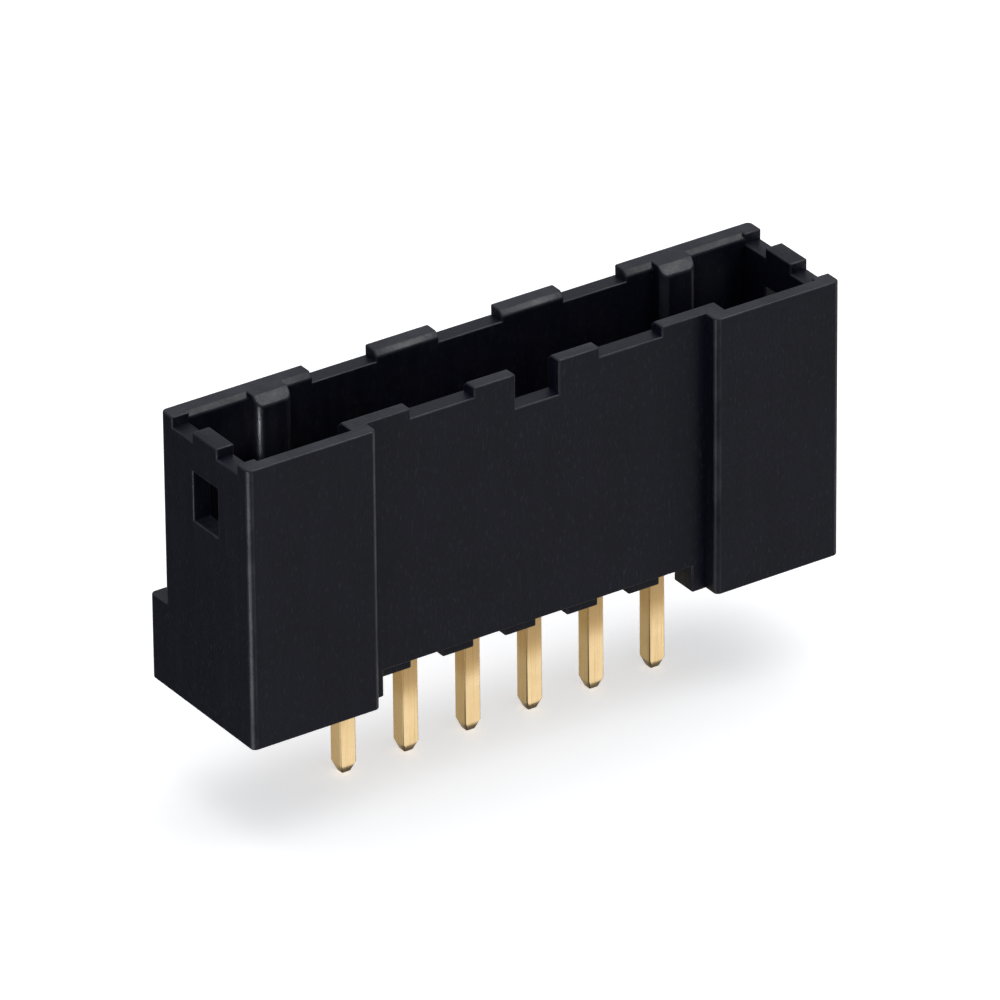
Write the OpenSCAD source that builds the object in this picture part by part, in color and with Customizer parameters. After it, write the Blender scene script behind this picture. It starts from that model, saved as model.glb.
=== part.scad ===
// Shrouded pin header: an upright row of square posts in an open-topped moulded shroud.
// The origin is the middle of the post row, on the face of the board it is soldered into.
// X runs along the row, the keyed front wall faces -Y and the mouth of the shroud faces +Z.

/* [Posts] */
// Number of posts in the row
post_count = 6; // [4:1:12]
// Spacing of the posts along the row
pitch = 2.54; // [2.3:0.02:3.2]
// Side of a square post
post_w = 0.64; // [0.5:0.02:0.8]
// Length of a solder tail below the face of the board
tail_l = 4; // [2.5:0.1:6]
// Reach of a post above the floor of the shroud
contact_l = 5.2; // [4:0.1:6.4]
// Length of the taper at each end of a post
tip_l = 0.4; // [0.2:0.05:0.8]
// Side of the flat at each end of a post
tip_w = 0.34; // [0.2:0.02:0.44]

/* [Shroud] */
// Height from the face of the board to the rim
shroud_h = 10.6; // [9.6:0.1:13]
// Length of the shroud past the centre of the outer post, at each end
end_l = 5.6; // [5:0.1:7]
// Distance from the post row to the front face between the end blocks
front_d = 2.5; // [2.2:0.05:3]
// Distance from the post row to the rear face
rear_d = 2.2; // [2:0.05:2.8]
// Thickness of the walls
wall = 0.7; // [0.5:0.05:0.9]
// Thickness of the floor that the posts are pressed through
floor_t = 1.6; // [1.2:0.1:2.2]
// Radius of the upright outer edges
edge_r = 0.2; // [0.1:0.05:0.4]

/* [End blocks] */
// Distance from the centre of the outer post to the inner side of an end block
block_from_post = 0.5; // [0.4:0.05:1]
// How far an end block stands out from the front face
block_proud = 0.65; // [0.3:0.05:1]

/* [Rear ledge] */
// Depth of the ledge along the foot of the rear wall
ledge_d = 0.95; // [0.5:0.05:1.5]
// Height of the ledge above the face of the board
ledge_h = 3.25; // [2:0.05:5]

/* [Rim] */
// Depth of the shallow gaps in the rim
gap_d = 0.38; // [0.3:0.02:0.6]
// Width of each shallow gap
gap_w = 2.54; // [1.6:0.02:3]
// Leg of the lead-in chamfer inside the rim
lead_in = 0.2; // [0.1:0.02:0.28]
// Width of the key notch in the front wall
key_w = 1.75; // [1:0.05:2.2]
// Depth of the key notch below the rim
key_d = 1.3; // [0.8:0.05:2]

/* [End walls] */
// Width of the raised tab on each end wall
tab_w = 1.5; // [1:0.05:2]
// Width of the latch window in each end wall
window_w = 1.5; // [1:0.05:2]
// Height of the latch window
window_h = 1.84; // [1:0.02:2.6]
// Distance from the rim down to the latch window
window_drop = 1.5; // [1:0.05:2.2]

/* [Guide ribs] */
// Distance from the centre of the outer post to the near side of a guide rib
rib_from_post = 1.15; // [0.9:0.05:1.8]
// Width of a guide rib
rib_w = 1.4; // [1:0.05:1.8]
// How far a guide rib stands out from the rear wall
rib_proud = 0.55; // [0.3:0.05:0.7]
// Radius of the upright edges of a guide rib
rib_r = 0.25; // [0.1:0.05:0.3]
// Leg of the slope on top of a guide rib
rib_slope = 0.35; // [0.1:0.05:0.4]

/* [Underside] */
// Height of the floor's underside above the face of the board
standoff = 1; // [0.6:0.1:1.4]
// How far a foot runs past its end block towards the middle
foot_reach = 0.55; // [0.3:0.05:1.2]
// Room along the row past the centre of the outer post
row_room = 0.75; // [0.6:0.05:1.2]
// Width of the relief along the row
row_relief_w = 2.8; // [2.4:0.1:3.2]
// Width of a standoff pad along the row
pad_w = 1.27; // [0.8:0.01:1.4]
// Length of a standoff pad across the row
pad_l = 2.76; // [2:0.02:3.2]

/* [Hidden] */

// Straight steps in each rounded upright corner
corner_steps = 6;
// Overrun of a cut past the face that it opens
cut = 0.5;

row_half = (post_count - 1) * pitch / 2;
half_l = row_half + end_l;
floor_z = standoff + floor_t;
block_x = row_half + block_from_post;
block_d = front_d + block_proud;
foot_x = block_x - foot_reach;
foot_d = rear_d + ledge_d;
end_mid_y = (rear_d - block_d) / 2;

// Rear gaps stand between every other pair of posts, front gaps at the second post from each end
rear_gaps = [for (number = [1 : 2 : post_count - 1]) post_x(number) + pitch / 2];
front_gaps = [post_x(2), post_x(post_count - 1)];

function post_x(number) = (number - 1) * pitch - row_half;

// Points along a quarter circle, or the corner itself where it isn't rounded
function quarter_arc(centre, r, start) =
    r == 0 ? [centre] :
    [for (step = [0 : corner_steps])
        let (angle = start + 90 * step / corner_steps)
        centre + r * [cos(angle), sin(angle)]];

// Rectangle between two opposite corners, with its corners rounded
module rounded_rect(low, high, r) {
    polygon(concat(
        quarter_arc([high.x - r, high.y - r], r, 0),
        quarter_arc([low.x + r, high.y - r], r, 90),
        quarter_arc([low.x + r, low.y + r], r, 180),
        quarter_arc([high.x - r, low.y + r], r, 270)));
}

// The child and its mirror image at the other end of the row
module both_ends() {
    for (turned = [0, 1])
        mirror([turned, 0, 0])
            children();
}

// Plan of the shroud, drawn in from the outer faces: a bar along the row and a block at each end
module shroud_plan(inset = 0, r = 0) {
    bar_x = (block_x + half_l) / 2;
    translate([-bar_x, inset - front_d])
        square([2 * bar_x, front_d + rear_d - 2 * inset]);
    both_ends()
        rounded_rect([block_x + inset, inset - block_d], [half_l - inset, rear_d - inset], r);
}

module rear_ledge() {
    linear_extrude(ledge_h)
        rounded_rect([-half_l, 0], [half_l, foot_d], edge_r);
}

// Space inside the shroud, from the floor out through the mouth
module cavity() {
    translate([0, 0, floor_z])
        linear_extrude(shroud_h)
            shroud_plan(inset = wall);
}

// Rib that steers the mating plug, rooted in the rear wall, with rounded edges and a sloped top
module guide_rib() {
    near_x = row_half + rib_from_post;
    far_x = near_x + rib_w;
    face_y = rear_d - wall - rib_proud;
    root_y = rear_d - wall / 2;
    difference() {
        translate([0, 0, floor_z])
            linear_extrude(shroud_h - floor_z)
                polygon(concat(
                    [[far_x, root_y], [near_x, root_y]],
                    quarter_arc([near_x + rib_r, face_y + rib_r], rib_r, 180),
                    quarter_arc([far_x - rib_r, face_y + rib_r], rib_r, 270)));
        chamfer_bar(near_x - cut, far_x + cut, face_y, shroud_h, rib_slope);
    }
}

// Bar along the row, turned on edge, that cuts a chamfer of the given leg
module chamfer_bar(low_x, high_x, y, z, leg) {
    translate([(low_x + high_x) / 2, y, z])
        rotate([45, 0, 0])
            cube([high_x - low_x, leg * sqrt(2), leg * sqrt(2)], center = true);
}

// Lead-in slopes inside the rim of the long walls
module rim_lead_in() {
    inside_x = half_l - wall;
    pocket_x = block_x + wall;
    chamfer_bar(-inside_x, inside_x, rear_d - wall, shroud_h, lead_in);
    chamfer_bar(-pocket_x, pocket_x, wall - front_d, shroud_h, lead_in);
    both_ends()
        chamfer_bar(pocket_x, inside_x, wall - block_d, shroud_h, lead_in);
}

// Notch down through the rim of a long wall whose front face is at wall_y
module rim_notch(x, wall_y, width, depth) {
    translate([x - width / 2, wall_y - cut, shroud_h - depth])
        cube([width, wall + 2 * cut, depth + cut]);
}

module rim_notches() {
    for (x = rear_gaps)
        rim_notch(x, rear_d - wall, gap_w, gap_d);
    for (x = front_gaps)
        rim_notch(x, -front_d, gap_w, gap_d);
    rim_notch(0, -front_d, key_w, key_d);
}

// The end wall's low top on both sides of its tab, and the latch window below
module end_wall_cuts() {
    wall_x = half_l - wall - cut;
    through = wall + 2 * cut;
    difference() {
        translate([wall_x, wall - block_d, shroud_h - gap_d])
            cube([through, rear_d + block_d - 2 * wall, gap_d + cut]);
        translate([wall_x - cut, end_mid_y - tab_w / 2, 0])
            cube([through + 2 * cut, tab_w, shroud_h + 2 * cut]);
    }
    translate([wall_x, end_mid_y - window_w / 2, shroud_h - window_drop - window_h])
        cube([through, window_w, window_h]);
}

// Pads between the posts that set the floor off the board
module standoff_pads() {
    for (number = [1 : post_count - 1])
        translate([post_x(number) + pitch / 2 - pad_w / 2, -pad_l / 2, -2 * cut])
            cube([pad_w, pad_l, standoff + 3 * cut]);
}

// Space under the floor: open from front to rear between the feet, and along the row past its ends
module underside_relief() {
    row_x = row_half + row_room;
    difference() {
        translate([0, 0, -cut]) {
            translate([-foot_x, -block_d, 0])
                cube([2 * foot_x, block_d + foot_d + cut, standoff + cut]);
            translate([-row_x, -row_relief_w / 2, 0])
                cube([2 * row_x, row_relief_w, standoff + cut]);
        }
        standoff_pads();
    }
}

module post_holes() {
    for (number = [1 : post_count])
        translate([post_x(number) - post_w / 2, -post_w / 2, 0])
            cube([post_w, post_w, floor_z + cut]);
}

module housing() {
    color([0.13, 0.13, 0.14])
        difference() {
            union() {
                difference() {
                    union() {
                        linear_extrude(shroud_h)
                            shroud_plan(r = edge_r);
                        rear_ledge();
                    }
                    cavity();
                    rim_lead_in();
                }
                both_ends()
                    guide_rib();
            }
            rim_notches();
            both_ends()
                end_wall_cuts();
            underside_relief();
            post_holes();
        }
}

// Post seen from one side, with a taper at each end
module post_profile() {
    tail_z = -tail_l;
    contact_z = floor_z + contact_l;
    rotate([90, 0, 0])
        linear_extrude(post_w, center = true)
            polygon([
                [-tip_w / 2, tail_z],
                [tip_w / 2, tail_z],
                [post_w / 2, tail_z + tip_l],
                [post_w / 2, contact_z - tip_l],
                [tip_w / 2, contact_z],
                [-tip_w / 2, contact_z],
                [-post_w / 2, contact_z - tip_l],
                [-post_w / 2, tail_z + tip_l]]);
}

module post(number) {
    color([0.86, 0.7, 0.4])
        translate([post_x(number), 0, 0])
            intersection() {
                post_profile();
                rotate([0, 0, 90])
                    post_profile();
            }
}

housing();
for (number = [1 : post_count])
    post(number);
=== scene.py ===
from math import cos, pi, radians, sin

import bmesh
import bpy
from mathutils import Matrix, Vector


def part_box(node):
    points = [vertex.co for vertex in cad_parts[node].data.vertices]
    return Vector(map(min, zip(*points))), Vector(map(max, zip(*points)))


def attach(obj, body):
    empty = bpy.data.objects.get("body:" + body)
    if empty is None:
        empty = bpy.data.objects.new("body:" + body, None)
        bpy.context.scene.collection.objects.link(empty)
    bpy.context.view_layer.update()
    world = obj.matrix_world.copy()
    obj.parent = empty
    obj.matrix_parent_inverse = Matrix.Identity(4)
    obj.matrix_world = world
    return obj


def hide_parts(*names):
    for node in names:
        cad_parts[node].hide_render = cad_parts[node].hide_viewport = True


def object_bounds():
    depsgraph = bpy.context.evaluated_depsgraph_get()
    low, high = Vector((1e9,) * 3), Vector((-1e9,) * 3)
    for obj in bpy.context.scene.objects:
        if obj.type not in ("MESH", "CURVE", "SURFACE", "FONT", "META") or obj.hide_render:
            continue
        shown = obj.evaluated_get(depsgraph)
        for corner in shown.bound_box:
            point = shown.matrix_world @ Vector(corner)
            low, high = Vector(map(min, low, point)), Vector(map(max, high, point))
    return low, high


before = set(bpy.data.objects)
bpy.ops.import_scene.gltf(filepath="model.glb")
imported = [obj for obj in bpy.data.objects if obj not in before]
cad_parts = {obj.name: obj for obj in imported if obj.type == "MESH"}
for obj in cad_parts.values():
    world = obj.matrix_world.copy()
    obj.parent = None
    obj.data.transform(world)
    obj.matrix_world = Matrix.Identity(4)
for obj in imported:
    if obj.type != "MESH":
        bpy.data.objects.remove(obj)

cad_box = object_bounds()

# Housing: one shot of black glass-filled PBT, moulded with cored square holes that the posts are pressed
# into. The tool leaves every outer edge broken by a few hundredths of a millimetre, and these thin rounds
# are what catches the light along the rim, the notches, the windows and the feet.
MM = 0.001
edge_break = 0.06 * MM
edge_steps = 3
round_profile = 0.5
sharp_from = radians(28)
smooth_under = radians(40)
same_point = 0.0005 * MM
same_plane = radians(0.5)
# The normal of a face on an upright round has more than this share of X and of Y.
askew = 0.1
# At this weight a large face alone sets the shading along its border.
large_face_weight = 100

bpy.ops.object.select_all(action="DESELECT")
housing = bpy.data.objects.new("housing_moulding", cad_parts["housing"].data.copy())
bpy.context.scene.collection.objects.link(housing)
bpy.context.view_layer.objects.active = housing
housing.select_set(True)
bpy.ops.mesh.customdata_custom_splitnormals_clear()
bpy.ops.object.mode_set(mode="EDIT")
bpy.ops.mesh.select_mode(type="EDGE")
bpy.ops.mesh.select_all(action="SELECT")
bpy.ops.mesh.remove_doubles(threshold=same_point)
# A cut along the row parts the rim and the floor in two, so that no flat face has a hole in it.
bpy.ops.mesh.bisect(plane_co=(0, 0, 0), plane_no=(0, 1, 0))
bpy.ops.mesh.mark_seam()
bpy.ops.mesh.select_all(action="SELECT")
bpy.ops.mesh.dissolve_limited(angle_limit=same_plane, delimit={"SEAM"})


def break_edges(piece, width):
    """Rounds the outer edges of the piece in edit mode, notes which faces are rounds
    and keeps its flat faces flat."""
    bpy.ops.mesh.select_all(action="DESELECT")
    mesh = bmesh.from_edit_mesh(piece.data)
    for edge in mesh.edges:
        edge.select_set(edge.is_convex and edge.calc_face_angle(0) > sharp_from)
    bmesh.update_edit_mesh(piece.data)
    bpy.ops.mesh.bevel(
        offset=width, segments=edge_steps, profile=round_profile, affect="EDGES", clamp_overlap=False)
    mesh = bmesh.from_edit_mesh(piece.data)
    on_edge = mesh.faces.layers.float.new("on_edge")
    for face in mesh.faces:
        upright_round = min(abs(face.normal.x), abs(face.normal.y)) > askew
        face[on_edge] = float(face.select or upright_round)
    bmesh.update_edit_mesh(piece.data)
    # The bevel doubles a corner where a rounded end stands on the rear ledge.
    bpy.ops.mesh.select_all(action="SELECT")
    bpy.ops.mesh.remove_doubles(threshold=same_point)
    bpy.ops.object.mode_set(mode="OBJECT")
    bpy.ops.object.shade_smooth_by_angle(angle=smooth_under)
    flats = piece.modifiers.new("flats stay flat", "WEIGHTED_NORMAL")
    flats.keep_sharp = True
    flats.weight = large_face_weight
    bpy.ops.object.modifier_apply(modifier=flats.name)


break_edges(housing, edge_break)


def linear(hex_colour):
    """An sRGB hex colour as linear RGBA."""
    parts = [int(hex_colour[start:start + 2], 16) / 255 for start in (0, 2, 4)]
    light = [part / 12.92 if part <= 0.04045 else ((part + 0.055) / 1.055) ** 2.4 for part in parts]
    return (*light, 1)


def bare(finish):
    """The same new material or world, with an empty node tree."""
    finish.use_nodes = True
    finish.node_tree.nodes.clear()
    return finish


def add_node(finish, kind, inputs, **settings):
    """Adds a node to a material or world. Each input is set to a value or linked to an output."""
    node = finish.node_tree.nodes.new(kind)
    for name, value in settings.items():
        setattr(node, name, value)
    for name, value in inputs.items():
        if isinstance(value, bpy.types.NodeSocket):
            finish.node_tree.links.new(value, node.inputs[name])
        else:
            node.inputs[name].default_value = value
    return node


# Black glass-filled PBT from a spark-eroded tool: blue-black and satin, never mirror-like. The resin fills
# the tool upwards from the floor, so tone and sheen have faint upright streaks and soft clouds, and ends of
# glass fibre show as pale flecks. The grain is even. The edges are rubbed smoother, and their paler tone is
# partly rubbed wear and partly a painted highlight along the edges.
pbt = bare(bpy.data.materials.new("black_glass_filled_pbt"))
place = add_node(pbt, "ShaderNodeTexCoord", {}).outputs["Object"]

cloud_mm = 2.6
cloud = add_node(pbt, "ShaderNodeTexNoise", {
    "Vector": place, "Scale": 1 / (cloud_mm * MM), "Detail": 3, "Roughness": 0.55}).outputs["Fac"]
cloud_tone = add_node(pbt, "ShaderNodeMix", {
    "Factor": cloud, "A": linear("060812"), "B": linear("0c0d1d")}, data_type="RGBA").outputs["Result"]

streak_mm, streak_length_mm = 0.4, 4.5
streak_place = add_node(pbt, "ShaderNodeMapping", {
    "Vector": place, "Scale": (1, 1, streak_mm / streak_length_mm)}).outputs["Vector"]
streak = add_node(pbt, "ShaderNodeTexNoise", {
    "Vector": streak_place, "Scale": 1 / (streak_mm * MM), "Detail": 2, "Roughness": 0.5}).outputs["Fac"]
streak_share = add_node(pbt, "ShaderNodeMapRange", {
    "Value": streak, "From Min": 0.45, "From Max": 0.75, "To Min": 0, "To Max": 0.4}).outputs["Result"]
streak_tone = add_node(pbt, "ShaderNodeMix", {
    "Factor": streak_share, "A": cloud_tone, "B": linear("111220")}, data_type="RGBA").outputs["Result"]

# A fibre is about 0.01 mm thick. Its end is drawn 0.09 mm wide, so that it shows.
fleck_mm, fleck_length_mm = 0.09, 0.3
fleck_place = add_node(pbt, "ShaderNodeMapping", {
    "Vector": place, "Scale": (1, 1, fleck_mm / fleck_length_mm)}).outputs["Vector"]
fleck = add_node(pbt, "ShaderNodeTexNoise", {
    "Vector": fleck_place, "Scale": 1 / (fleck_mm * MM), "Detail": 1, "Roughness": 0.5}).outputs["Fac"]
fleck_share = add_node(pbt, "ShaderNodeMapRange", {
    "Value": fleck, "From Min": 0.6, "From Max": 0.75, "To Min": 0, "To Max": 0.6}).outputs["Result"]
fleck_tone = add_node(pbt, "ShaderNodeMix", {
    "Factor": fleck_share, "A": streak_tone, "B": linear("20212b")}, data_type="RGBA").outputs["Result"]

# Painted highlight: faces on the edges and on the upright rounds are painted paler in patches, partly as
# rubbed wear and partly as a highlight along the edges.
rub_and_highlight_mm = 1.3
rub_and_highlight_patch = add_node(pbt, "ShaderNodeTexNoise", {
    "Vector": place, "Scale": 1 / (rub_and_highlight_mm * MM), "Detail": 3, "Roughness": 0.6}).outputs["Fac"]
rub_and_highlight_strength = add_node(pbt, "ShaderNodeMapRange", {
    "Value": rub_and_highlight_patch, "From Min": 0.3, "From Max": 0.7, "To Min": 0.15, "To Max": 0.9}).outputs["Result"]
on_edge = add_node(pbt, "ShaderNodeAttribute", {}, attribute_name="on_edge").outputs["Fac"]
rub_and_edge_highlight = add_node(pbt, "ShaderNodeMath", {0: on_edge, 1: rub_and_highlight_strength}, operation="MULTIPLY").outputs["Value"]
pbt_tone = add_node(pbt, "ShaderNodeMix", {
    "Factor": rub_and_edge_highlight, "A": fleck_tone, "B": linear("2c2d34")}, data_type="RGBA").outputs["Result"]

# The eroded grain is about 0.03 mm from crest to crest. It is drawn four times as coarse, so that it shows.
grain_mm, grain_depth_mm = 0.12, 0.009
grain = add_node(pbt, "ShaderNodeTexNoise", {
    "Vector": place, "Scale": 1 / (grain_mm * MM), "Detail": 2, "Roughness": 0.6}).outputs["Fac"]
grain_bump = add_node(pbt, "ShaderNodeBump", {
    "Height": grain, "Distance": grain_depth_mm * MM, "Strength": 1.0}).outputs["Normal"]

grain_dulls, rub_polishes = 0.14, -0.1
satin = add_node(pbt, "ShaderNodeMapRange", {
    "Value": streak, "From Min": 0.25, "From Max": 0.75, "To Min": 0.31, "To Max": 0.39}).outputs["Result"]
satin_grain = add_node(pbt, "ShaderNodeMath", {
    0: grain, 1: grain_dulls, 2: satin}, operation="MULTIPLY_ADD").outputs["Value"]
pbt_roughness = add_node(pbt, "ShaderNodeMath", {
    0: rub_and_edge_highlight, 1: rub_polishes, 2: satin_grain}, operation="MULTIPLY_ADD").outputs["Value"]
pbt_skin = add_node(pbt, "ShaderNodeBsdfPrincipled", {
    "Base Color": pbt_tone, "Roughness": pbt_roughness, "Normal": grain_bump,
    "IOR": 1.55, "Specular IOR Level": 0.17})
add_node(pbt, "ShaderNodeOutputMaterial", {"Surface": pbt_skin.outputs["BSDF"]})

housing.data.materials.clear()
housing.data.materials.append(pbt)
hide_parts("housing")
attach(housing, "root")

# Posts: square brass wire, drawn to size, cut and coined to a blunt taper at both ends, then plated with
# gold and pressed through the floor of the housing. One is modelled and copied along the row.
post_edge = 0.05 * MM
tip_l = 0.4 * MM
tip_w = 0.34 * MM
# The normal of a face that looks along the wire has more than this share of Z.
end_on = 0.9
post_nodes = sorted(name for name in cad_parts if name.startswith("post_"))
post_low, post_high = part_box(post_nodes[0])
post_middle = (post_low + post_high) / 2
post_size = post_high - post_low
taper = (tip_w / post_size.x, tip_w / post_size.y, 1)

bpy.ops.object.select_all(action="DESELECT")
bpy.ops.mesh.primitive_cube_add(size=1, location=post_middle)
first_post = bpy.context.active_object
first_post.scale = post_size - Vector((0, 0, 2 * tip_l))
bpy.ops.object.transform_apply(location=True, rotation=True, scale=True)
bpy.ops.object.mode_set(mode="EDIT")
bpy.ops.mesh.select_mode(type="FACE")
for end in (-1, 1):
    bpy.ops.mesh.select_all(action="DESELECT")
    mesh = bmesh.from_edit_mesh(first_post.data)
    for face in mesh.faces:
        face.select_set(face.normal.z * end > end_on)
    bmesh.update_edit_mesh(first_post.data)
    bpy.ops.mesh.extrude_region_move(TRANSFORM_OT_translate={"value": (0, 0, end * tip_l)})
    bpy.ops.transform.resize(value=taper, center_override=post_middle)
bpy.ops.mesh.select_mode(type="EDGE")
break_edges(first_post, post_edge)

# Gold over drawn brass: pale and bright, with fine lines along the wire from the die, and smooth on the
# rubbed edges. From just below the housing upwards the tone is painted deeper and warmer, as painted shade
# under the housing.
gold = bare(bpy.data.materials.new("gold_plated_drawn_brass"))
place = add_node(gold, "ShaderNodeTexCoord", {}).outputs["Object"]

# The die's lines are a few thousandths of a millimetre wide. They are drawn at 0.05 mm, so that they show.
line_mm, line_length_mm, line_depth_mm = 0.05, 2.4, 0.002
line_place = add_node(gold, "ShaderNodeMapping", {
    "Vector": place, "Scale": (1, 1, line_mm / line_length_mm)}).outputs["Vector"]
line = add_node(gold, "ShaderNodeTexNoise", {
    "Vector": line_place, "Scale": 1 / (line_mm * MM), "Detail": 2, "Roughness": 0.5}).outputs["Fac"]
line_bump = add_node(gold, "ShaderNodeBump", {
    "Height": line, "Distance": line_depth_mm * MM, "Strength": 0.7}).outputs["Normal"]

patch_mm = 0.9
patch = add_node(gold, "ShaderNodeTexNoise", {
    "Vector": place, "Scale": 1 / (patch_mm * MM), "Detail": 3, "Roughness": 0.6}).outputs["Fac"]
plate_tone = add_node(gold, "ShaderNodeMix", {
    "Factor": patch, "A": linear("f5d9aa"), "B": linear("e9c992")}, data_type="RGBA").outputs["Result"]
line_share = add_node(gold, "ShaderNodeMapRange", {
    "Value": line, "From Min": 0.5, "From Max": 0.8, "To Min": 0, "To Max": 0.6}).outputs["Result"]
line_tone = add_node(gold, "ShaderNodeMix", {
    "Factor": line_share, "A": plate_tone, "B": linear("cda764")}, data_type="RGBA").outputs["Result"]

# Painted shade: the tails are painted deeper and warmer towards the housing.
pale_below, deep_from = -2.2 * MM, -1.2 * MM
post_height = add_node(gold, "ShaderNodeSeparateXYZ", {"Vector": place}).outputs["Z"]
painted_shade_under_housing = add_node(gold, "ShaderNodeMapRange", {
    "Value": post_height, "From Min": pale_below, "From Max": deep_from, "To Min": 0, "To Max": 0.5},
    interpolation_type="SMOOTHSTEP").outputs["Result"]
gold_tone = add_node(gold, "ShaderNodeMix", {
    "Factor": painted_shade_under_housing, "A": line_tone, "B": linear("c2944e")}, data_type="RGBA").outputs["Result"]

line_dulls, edge_polishes = 0.08, -0.08
bright = add_node(gold, "ShaderNodeMapRange", {
    "Value": patch, "From Min": 0.3, "From Max": 0.7, "To Min": 0.2, "To Max": 0.3}).outputs["Result"]
bright_line = add_node(gold, "ShaderNodeMath", {
    0: line, 1: line_dulls, 2: bright}, operation="MULTIPLY_ADD").outputs["Value"]
on_edge = add_node(gold, "ShaderNodeAttribute", {}, attribute_name="on_edge").outputs["Fac"]
gold_roughness = add_node(gold, "ShaderNodeMath", {
    0: on_edge, 1: edge_polishes, 2: bright_line}, operation="MULTIPLY_ADD").outputs["Value"]
gold_skin = add_node(gold, "ShaderNodeBsdfPrincipled", {
    "Base Color": gold_tone, "Metallic": 1.0, "Roughness": gold_roughness, "Normal": line_bump})
add_node(gold, "ShaderNodeOutputMaterial", {"Surface": gold_skin.outputs["BSDF"]})
first_post.data.materials.append(gold)

for node in post_nodes:
    post = first_post.copy()
    post.data = first_post.data.copy()
    post.name = node + "_wire"
    post.data.transform(Matrix.Translation(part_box(node)[0] - post_low))
    bpy.context.scene.collection.objects.link(post)
    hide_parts(node)
    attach(post, "root")
bpy.data.objects.remove(first_post)

# Floor: a wide board of matt opal acrylic, lit a little from behind, just under the tips of the tails. It
# is kept out of reflections and lets the sheen lights through, so that the part shows the darker room. Its
# underside is clear, so that the part can be looked at from below.
floor_radius = 1.5
floor_sides = 96
bpy.ops.object.select_all(action="DESELECT")
bpy.ops.mesh.primitive_circle_add(
    vertices=floor_sides, radius=floor_radius, fill_type="NGON", location=(0, 0, cad_box[0].z))
floor = bpy.context.active_object
floor.name = "floor"
floor.visible_glossy = False
floor.visible_shadow = False
board = bare(bpy.data.materials.new("backlit_opal_acrylic"))
board_skin = add_node(board, "ShaderNodeBsdfPrincipled", {
    "Base Color": linear("ececec"), "Roughness": 0.9, "Specular IOR Level": 0.0,
    "Emission Color": linear("ffffff"), "Emission Strength": 0.45})
underneath = add_node(board, "ShaderNodeNewGeometry", {}).outputs["Backfacing"]
clear = add_node(board, "ShaderNodeBsdfTransparent", {}).outputs["BSDF"]
one_way = add_node(board, "ShaderNodeMixShader", {0: underneath, 1: board_skin.outputs["BSDF"], 2: clear})
add_node(board, "ShaderNodeOutputMaterial", {"Surface": one_way.outputs["Shader"]})
floor.data.materials.append(board)

# Light: a pale room that darkens below the horizon and one large soft box above. The other lights show only
# in the sheen. A key for the lead-in slopes, a card each for the front and the rear and a strip for the
# right end stand far off, and five small cards stand close to the part.
scene = bpy.context.scene
scene.view_settings.view_transform = "Standard"
room = bare(bpy.data.worlds.new("pale_room"))
way = add_node(room, "ShaderNodeTexCoord", {}).outputs["Generated"]
rise = add_node(room, "ShaderNodeSeparateXYZ", {"Vector": way}).outputs["Z"]
room_light = add_node(room, "ShaderNodeMapRange", {
    "Value": rise, "From Min": -0.2, "From Max": 0.3, "To Min": 0.1, "To Max": 0.64}).outputs["Result"]
glow = add_node(room, "ShaderNodeBackground", {"Color": linear("f8faff"), "Strength": room_light})
add_node(room, "ShaderNodeOutputWorld", {"Surface": glow.outputs["Background"]})
scene.world = room


def outwards(azimuth, elevation):
    """A unit step away from the part, in a direction round it. Azimuth 0 is straight in front."""
    return Vector((sin(azimuth) * cos(elevation), -cos(azimuth) * cos(elevation), sin(elevation)))


def soft_box(name, stand, aim, width, height, radiance, sheen_only, tint="ffffff", spread=pi):
    """An area light at one point that faces another. Its spread is the angle of the cone that it lights."""
    lamp = bpy.data.lights.new(name, "AREA")
    lamp.shape = "RECTANGLE"
    lamp.size, lamp.size_y = width, height
    lamp.energy = radiance * pi * width * height
    lamp.color = linear(tint)[:3]
    lamp.spread = spread
    box = bpy.data.objects.new(name, lamp)
    box.location = stand
    box.rotation_mode = "QUATERNION"
    box.rotation_quaternion = (aim - stand).to_track_quat("-Z", "Y")
    box.visible_diffuse = not sheen_only
    scene.collection.objects.link(box)


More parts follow.
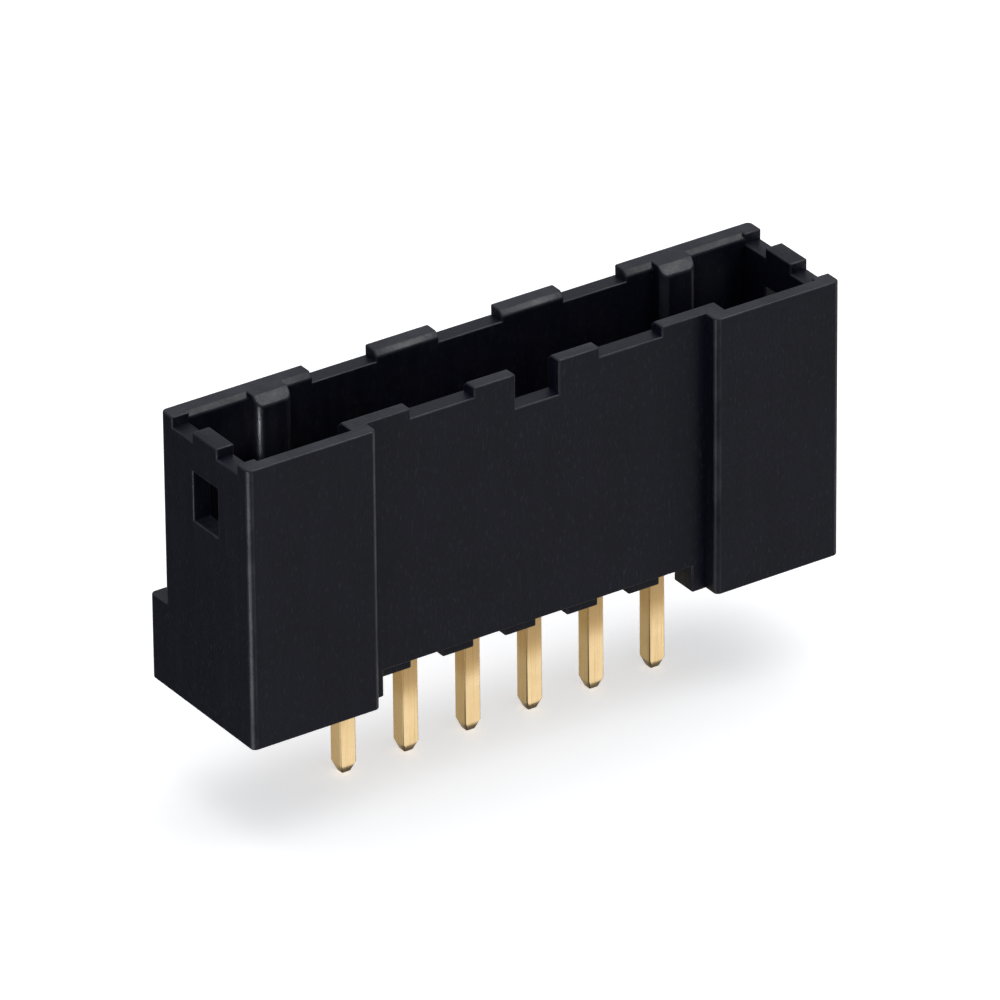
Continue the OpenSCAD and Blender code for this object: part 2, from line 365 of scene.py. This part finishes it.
row_middle = Vector((0, 0, 0))
far_off = 0.6
for name, azimuth, elevation, width, height, radiance, sheen_only in (
        ("box_above", 100, 80, 0.7, 0.7, 1.2, False),
        ("box_key", 45, 47, 0.25, 0.25, 10.5, True),
        ("card_front", 28, -26, 0.6, 0.45, 0.5, True),
        ("card_rear", 155, -22, 0.6, 0.45, 0.42, True),
        ("strip_right", 74, -28, 0.2, 0.2, 2.2, True)):
    stand = far_off * outwards(radians(azimuth), radians(elevation))
    soft_box(name, stand, row_middle, width, height, radiance, sheen_only)

# The small cards have their places and sizes in millimetres and their cones in degrees. One is off the
# left edge, and one in the left end shows on the guide rib, in a narrow cone that lights little else. Three
# are for the fronts, left sides and edges of the tails, with a warm reflector for the left sides.
for name, stand, aim, width, height, radiance, tint, spread in (
        ("card_left_edge", (-33, -9, -7), (-12, -3, 5), 22, 14, 5.5, "ffffff", 180),
        ("card_left_rib", (-11.2, -1.5, 8.7), (-8.7, 1.1, 9.3), 1.5, 1.0, 5, "ffffff", 40),
        ("card_tail_fronts", (-0.8, -2.4, -4.7), (-0.8, 0, -4.7), 20.4, 3.5, 0.46, "ffffff", 180),
        ("card_tail_sides", (-3.5, 5, -5.2), (-3.5, 0, -5.2), 16, 5.5, 0.36, "fff4d2", 180),
        ("card_tail_edges", (-11.5, 0, -8), (0, 0, -8), 10, 12, 0.6, "ffffff", 180)):
    soft_box(name, Vector(stand) * MM, Vector(aim) * MM, width * MM, height * MM, radiance, True,
             tint, radians(spread))

# Camera: a long lens from the front left, a little above. It is rolled half a degree and aimed just off
# the middle of the part, as in the photograph.
azimuth, elevation, roll = radians(-33.77), radians(28.524), radians(-0.525)
distance = 418.72 * MM
aim_height, aim_right, aim_up = 4 * MM, 0.0998 * MM, 0.389 * MM
back = outwards(azimuth, elevation)
level = Vector((cos(azimuth), sin(azimuth), 0))
upright = back.cross(level)
right = level * cos(roll) + upright * sin(roll)
up = upright * cos(roll) - level * sin(roll)
stand = Vector((0, 0, aim_height)) + right * aim_right + up * aim_up + back * distance
lens = bpy.data.cameras.new("camera")
lens.sensor_width = 36
lens.lens = 445.7
lens.clip_start, lens.clip_end = 0.01, 10
camera = bpy.data.objects.new("camera", lens)
camera.matrix_world = Matrix.Translation(stand) @ Matrix((right, up, back)).transposed().to_4x4()
scene.collection.objects.link(camera)
scene.camera = camera
